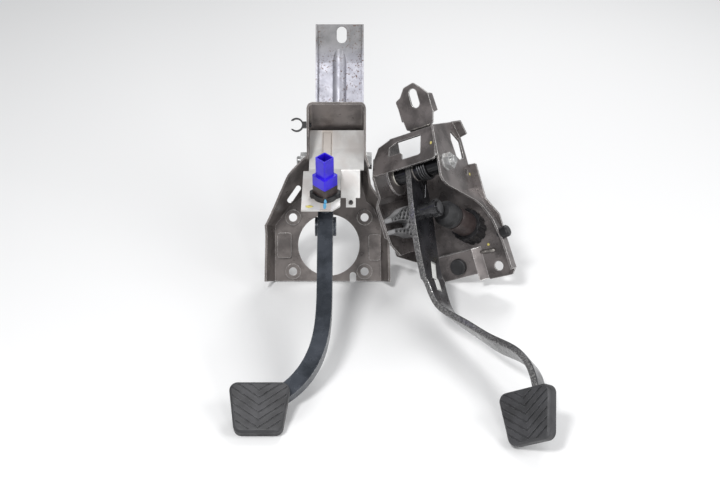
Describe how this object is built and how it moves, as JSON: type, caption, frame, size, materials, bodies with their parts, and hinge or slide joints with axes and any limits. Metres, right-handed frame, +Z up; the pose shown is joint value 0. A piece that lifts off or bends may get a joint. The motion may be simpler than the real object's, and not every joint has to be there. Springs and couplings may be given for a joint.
{
  "type": "car pedal assembly",
  "caption": "Brake and clutch pedal units with pressed brackets, bent arms, ribbed rubber pads, a stop lamp switch and a clutch master cylinder.",
  "frame": {"origin": "centre of the footprint on the surface it stands on", "axes": "+X towards the clutch unit along the brake pivot, +Y from the pads towards the bulkhead plates, +Z up"},
  "size_m": [0.304, 0.4124, 0.2628],
  "materials": {
    "painted_sheet": "taupe grey e-coat on pressed steel, satin, worn bright along its edges",
    "zinc_sheet": "zinc plated pressed steel with small rust specks",
    "bright_zinc": "bright zinc plated sheet",
    "zinc_fastener": "zinc plated fastener",
    "bare_steel": "bare turned steel",
    "spring_steel": "oiled spring wire",
    "dark_plastic": "dark moulded plastic",
    "black_plastic": "black moulded plastic",
    "blue_plastic": "bright blue moulded plastic",
    "grey_plastic": "grey moulded plastic",
    "bush_plastic": "self lubricating plastic bush",
    "tin_terminal": "tinned blade",
    "black_rubber": "moulded black rubber",
    "pad_rubber": "ribbed black pad rubber, worn satin on its ribs",
    "blue_grey_paint": "dark blue grey paint on formed steel, semi gloss",
    "gloss_black_paint": "gloss black paint, worn bright along the edges"
  },
  "bodies": {
    "root": {"brake_bracket": "painted_sheet", "brake_upper_strap": "zinc_sheet", "brake_switch_bracket": "bright_zinc", "brake_pivot_bolt": "zinc_fastener", "brake_pivot_nut": "zinc_fastener", "brake_pivot_sleeve": "bare_steel", "switch_lock_ring": "dark_plastic", "switch_body": "dark_plastic", "switch_connector": "blue_plastic", "switch_terminals": "tin_terminal", "cable_clip": "black_plastic", "brake_return_spring": "spring_steel", "clutch_base_plate": "painted_sheet", "clutch_stop_bumper": "black_rubber", "clutch_left_wall": "painted_sheet", "clutch_right_wall": "painted_sheet", "clutch_box_frame": "painted_sheet", "clutch_upper_bracket": "painted_sheet", "clutch_pivot_bolt": "zinc_fastener", "clutch_pivot_nut": "zinc_fastener", "clutch_pivot_sleeve": "bare_steel", "clutch_master_barrel": "dark_plastic", "clutch_master_collar": "black_plastic", "clutch_boot": "black_rubber", "clutch_fork": "grey_plastic", "wall_plug": "black_plastic", "clutch_return_spring": "spring_steel"},
    "brake_pedal": {"brake_pivot_bushes": "bush_plastic", "brake_hub_tube": "bare_steel", "brake_arm": "blue_grey_paint", "brake_stop_button": "black_rubber", "brake_pad_plate": "bare_steel", "brake_pad_rubber": "pad_rubber"},
    "clutch_pedal": {"clutch_pivot_bushes": "bush_plastic", "clutch_hub_tube": "bare_steel", "clutch_arm": "gloss_black_paint", "clutch_rod_pin": "bare_steel", "clutch_pad_plate": "bare_steel", "clutch_pad_rubber": "pad_rubber"},
    "clutch_pushrod": {"clutch_pushrod": "bare_steel"},
    "switch_plunger": {"switch_plunger": "grey_plastic"}
  },
  "joints": [
    {"name": "brake_swing", "type": "hinge", "parent": "root", "child": "brake_pedal", "pos_m": [-0.06274, 0.13148, 0.1333], "axis": [1, 0, 0], "range_deg": [0, 18], "stiffness_Nm_per_rad": 1, "springref_deg": -5.73, "deforming": ["brake_return_spring"]},
    {"name": "clutch_swing", "type": "hinge", "parent": "root", "child": "clutch_pedal", "pos_m": [0.04814, 0.10091, 0.14204], "axis": [0.8407, -0.2914, 0.4563], "range_deg": [0, 25], "stiffness_Nm_per_rad": 1, "springref_deg": -5.73, "deforming": ["clutch_return_spring", "clutch_boot"]},
    {"name": "pushrod_swing", "type": "hinge", "parent": "clutch_pedal", "child": "clutch_pushrod", "pos_m": [0.05235, 0.06521, 0.1115], "axis": [0.8407, -0.2914, 0.4563], "range_deg": [-32, 0]},
    {"name": "plunger_slide", "type": "slide", "parent": "root", "child": "switch_plunger", "axis": [0, 0.1045, -0.9945], "range_m": [0, 0.0041]}
  ],
  "couplings": [
    {"joint": "pushrod_swing", "follows": "clutch_swing", "ratio": -1.254},
    {"joint": "plunger_slide", "follows": "brake_swing", "m_per_rad": 0.0127}
  ]
}
